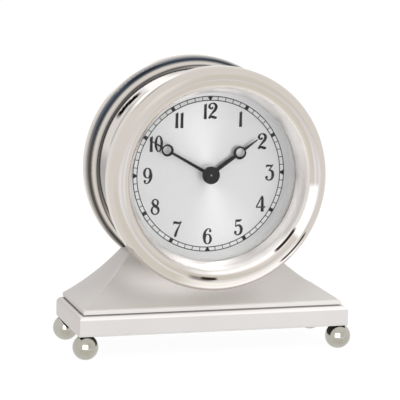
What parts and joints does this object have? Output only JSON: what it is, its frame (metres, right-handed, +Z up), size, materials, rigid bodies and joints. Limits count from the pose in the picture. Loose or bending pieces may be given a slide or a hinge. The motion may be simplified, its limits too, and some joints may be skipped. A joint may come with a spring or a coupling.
{
  "type": "ships deck clock",
  "caption": "Round polished nickel desk clock on a swept pedestal and plinth with ball feet, silvered dial with arabic numerals, quartz movement.",
  "frame": {"origin": "on the surface the clock stands on, under the middle of the plinth", "axes": "+X to the right as you face the dial, +Y to the back, +Z up; the dial faces -Y"},
  "size_m": [0.1612, 0.0658, 0.1617],
  "materials": {
    "nickel": "polished nickel plate",
    "satin_nickel": "spun satin nickel plate",
    "silvered_dial": "silvered, brushed in circles",
    "black_enamel": "matt black paint",
    "glass": "clear flat glass",
    "gasket": "matt rubber",
    "screw_steel": "turned steel",
    "gear_brass": "cut brass",
    "magnet": "sintered magnet",
    "soft_iron": "stamped soft iron",
    "copper_wire": "enamelled copper wire",
    "black_plastic": "moulded, fine grain",
    "white_plastic": "moulded",
    "board_green": "solder mask",
    "felt": "black wool felt",
    "battery_shell": "plain printed sleeve"
  },
  "bodies": {
    "case": {"plinth": "nickel", "pedestal": "nickel", "ball_foot_front_left": "nickel", "ball_foot_front_right": "nickel", "ball_foot_rear_left": "nickel", "ball_foot_rear_right": "nickel", "foot_studs": "screw_steel", "plinth_screws": "screw_steel", "base_felt": "felt", "case_screws": "screw_steel", "case_barrel": "nickel", "dial_plate": "silvered_dial", "reflector_ring": "nickel", "dial_screws": "screw_steel", "dial_washer": "gasket", "clamp_ring": "gear_brass", "movement_front_housing": "black_plastic", "movement_back_housing": "black_plastic", "train_bridge": "white_plastic", "bridge_screws": "screw_steel", "stator": "soft_iron", "coil_core": "soft_iron", "coil_bobbin": "white_plastic", "coil_winding": "copper_wire", "circuit_board": "board_green", "circuit_chip": "black_plastic", "quartz_can": "screw_steel", "battery_contact_minus": "screw_steel", "battery_contact_plus": "screw_steel"},
    "glazing": {"glass": "glass", "glass_gasket": "gasket", "glass_retaining_ring": "nickel"},
    "bezel": {"bezel": "nickel"},
    "back_cover": {"back_cover": "satin_nickel"},
    "battery": {"battery": "battery_shell"},
    "minute_hand": {"minute_arbor": "screw_steel", "clutch_washer": "screw_steel", "clutch_collar": "gear_brass", "minute_hand": "black_enamel", "hub_cap": "black_enamel"},
    "centre_wheel": {"centre_wheel": "gear_brass"},
    "hour_hand": {"hour_wheel": "gear_brass", "hour_hand": "black_enamel"},
    "minute_wheel": {"minute_wheel": "gear_brass"},
    "setting_knob": {"setting_knob": "black_plastic"},
    "third_wheel": {"third_wheel": "gear_brass"},
    "fourth_wheel": {"fourth_wheel": "gear_brass"},
    "fifth_wheel": {"fifth_wheel": "gear_brass"},
    "rotor": {"rotor": "magnet"}
  },
  "joints": [
    {"name": "minute_hand_turn", "type": "hinge", "parent": "case", "child": "minute_hand", "pos_m": [0, 0, 0.09906], "axis": [0, 1, 0], "continuous": true},
    {"name": "hour_hand_turn", "type": "hinge", "parent": "case", "child": "hour_hand", "pos_m": [0, 0, 0.09906], "axis": [0, 1, 0], "continuous": true},
    {"name": "minute_wheel_turn", "type": "hinge", "parent": "case", "child": "minute_wheel", "pos_m": [0.00902, 0, 0.09578], "axis": [0, 1, 0], "continuous": true},
    {"name": "setting_knob_turn", "type": "hinge", "parent": "case", "child": "setting_knob", "pos_m": [0.01382, 0, 0.10409], "axis": [0, 1, 0], "continuous": true},
    {"name": "centre_wheel_turn", "type": "hinge", "parent": "case", "child": "centre_wheel", "pos_m": [0, 0, 0.09906], "axis": [0, 1, 0], "continuous": true},
    {"name": "third_wheel_turn", "type": "hinge", "parent": "case", "child": "third_wheel", "pos_m": [-0.00935, 0, 0.10446], "axis": [0, 1, 0], "continuous": true},
    {"name": "fourth_wheel_turn", "type": "hinge", "parent": "case", "child": "fourth_wheel", "pos_m": [-0.00645, 0, 0.11245], "axis": [0, 1, 0], "continuous": true},
    {"name": "fifth_wheel_turn", "type": "hinge", "parent": "case", "child": "fifth_wheel", "pos_m": [0.0006, 0, 0.11501], "axis": [0, 1, 0], "continuous": true},
    {"name": "rotor_turn", "type": "hinge", "parent": "case", "child": "rotor", "pos_m": [0.0076, 0, 0.11501], "axis": [0, 1, 0], "continuous": true},
    {"name": "bezel_advance", "type": "slide", "parent": "case", "child": "glazing", "axis": [0, -1, 0], "range_m": [0, 0.0075]},
    {"name": "bezel_turn", "type": "hinge", "parent": "glazing", "child": "bezel", "pos_m": [0, -0.0198, 0.09906], "axis": [0, -1, 0], "range_deg": [0, 1800]},
    {"name": "back_cover_pull", "type": "slide", "parent": "case", "child": "back_cover", "axis": [0, 1, 0], "range_m": [0, 0.03]},
    {"name": "battery_slide", "type": "slide", "parent": "case", "child": "battery", "axis": [0, 1, 0], "range_m": [0, 0.0155]}
  ],
  "couplings": [
    {"joint": "hour_hand_turn", "follows": "minute_hand_turn", "ratio": 0.083333},
    {"joint": "minute_wheel_turn", "follows": "minute_hand_turn", "ratio": -0.33333},
    {"joint": "setting_knob_turn", "follows": "minute_hand_turn", "ratio": 1},
    {"joint": "centre_wheel_turn", "follows": "fourth_wheel_turn", "ratio": 0.016667},
    {"joint": "third_wheel_turn", "follows": "fourth_wheel_turn", "ratio": -0.13333},
    {"joint": "fifth_wheel_turn", "follows": "fourth_wheel_turn", "ratio": -5},
    {"joint": "rotor_turn", "follows": "fourth_wheel_turn", "ratio": 30},
    {"joint": "bezel_advance", "follows": "bezel_turn", "m_per_rad": 0.0002387}
  ]
}
